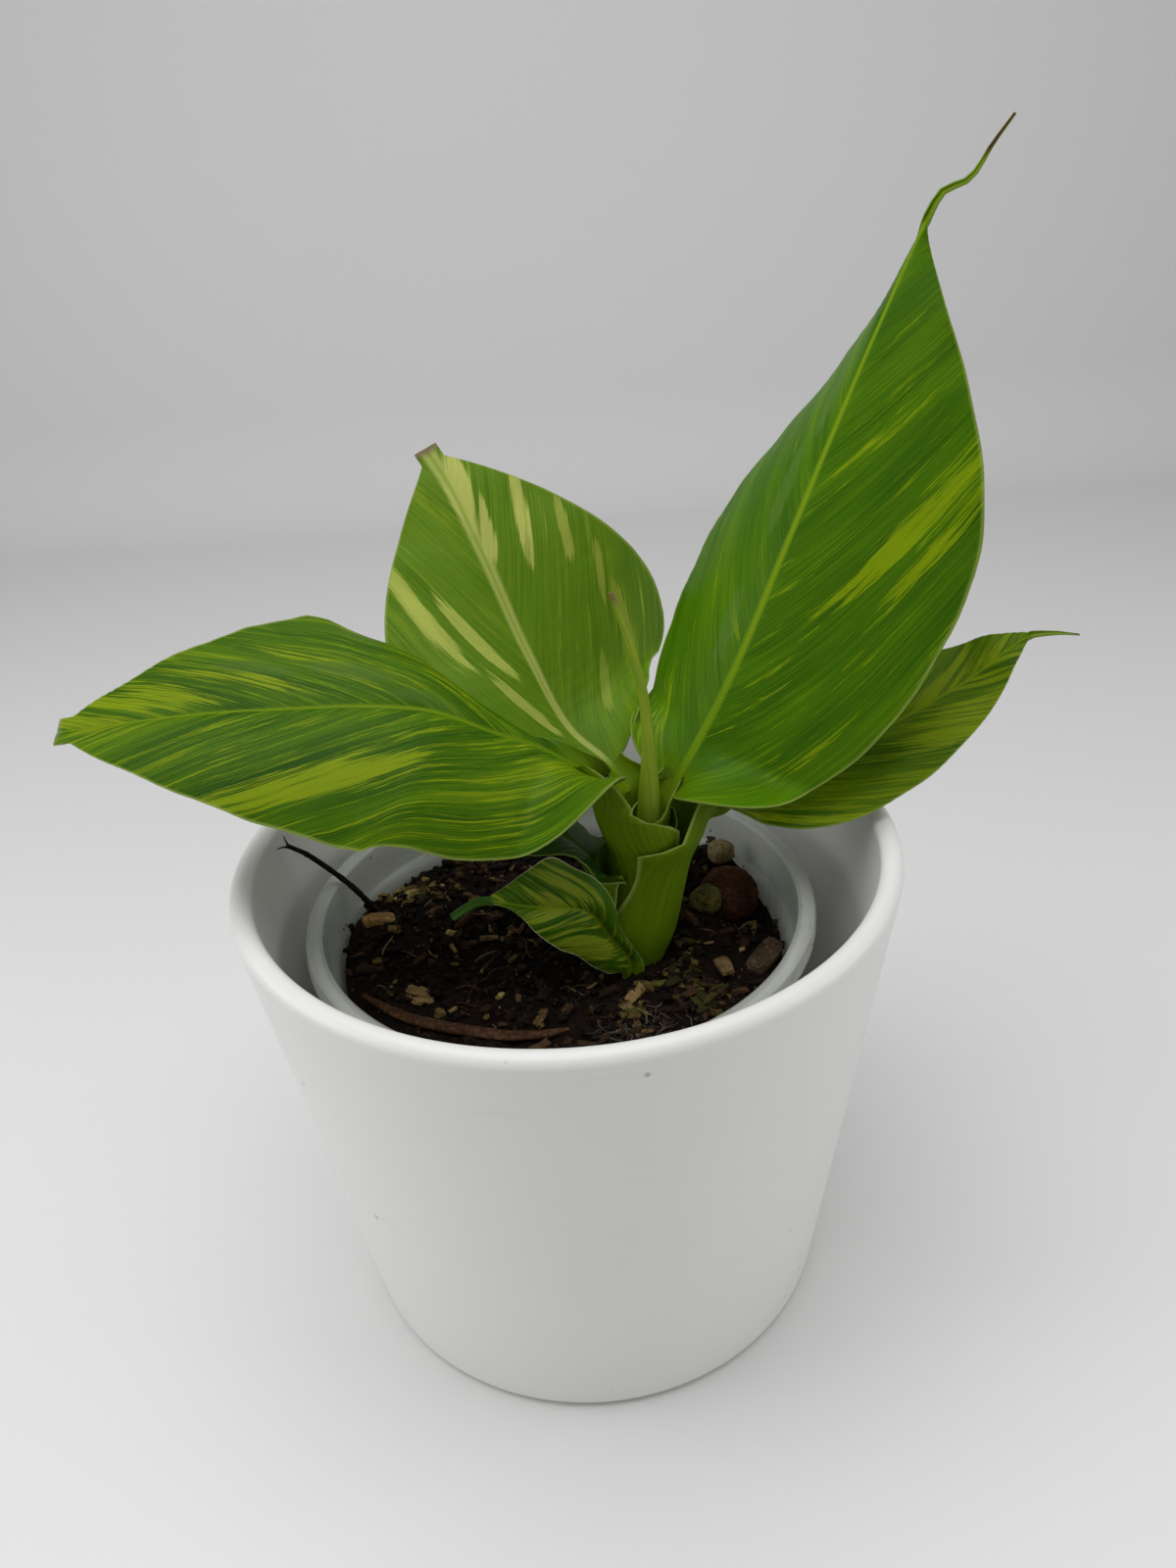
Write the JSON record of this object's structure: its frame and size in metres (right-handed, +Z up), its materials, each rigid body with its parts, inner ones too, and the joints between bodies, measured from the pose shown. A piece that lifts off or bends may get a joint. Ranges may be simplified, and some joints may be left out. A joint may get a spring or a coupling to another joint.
{
  "type": "potted banana plant",
  "caption": "Young variegated banana plant with broad veined leaves and a rolled new leaf, in a clear nursery pot of soil that stands in a white ceramic cover pot.",
  "frame": {"origin": "centre of the cover pot's flat underside", "axes": "+Z up along the cover pot's axis, +X to the viewer's right, +Y away from the viewer"},
  "size_m": [0.2088, 0.14, 0.2415],
  "materials": {
    "cover_pot": "satin",
    "nursery_pot": "satin",
    "soil": "matte",
    "corm": "matte",
    "new_leaf_spear": "satin",
    "leaf_tall_right": "satin",
    "leaf_back": "satin",
    "leaf_left": "satin",
    "leaf_low_right": "satin",
    "leaf_under_left": "satin",
    "leaf_base_small": "satin",
    "clay_pebble": "matte",
    "pumice_grain": "matte",
    "tan_stone": "matte",
    "dark_bark_piece": "matte",
    "wood_chip": "matte",
    "tan_bark_piece": "matte",
    "bark_splinter": "matte",
    "black_twig": "matte"
  },
  "bodies": {
    "root": {"cover_pot": "cover_pot", "nursery_pot": "nursery_pot", "soil": "soil", "corm": "corm", "new_leaf_spear": "new_leaf_spear", "leaf_tall_right": "leaf_tall_right", "leaf_back": "leaf_back", "leaf_left": "leaf_left", "leaf_low_right": "leaf_low_right", "leaf_under_left": "leaf_under_left", "leaf_base_small": "leaf_base_small", "clay_pebble": "clay_pebble", "pumice_grain": "pumice_grain", "tan_stone": "tan_stone", "dark_bark_piece": "dark_bark_piece", "wood_chip": "wood_chip", "tan_bark_piece": "tan_bark_piece", "bark_splinter": "bark_splinter", "black_twig": "black_twig"}
  },
  "joints": []
}
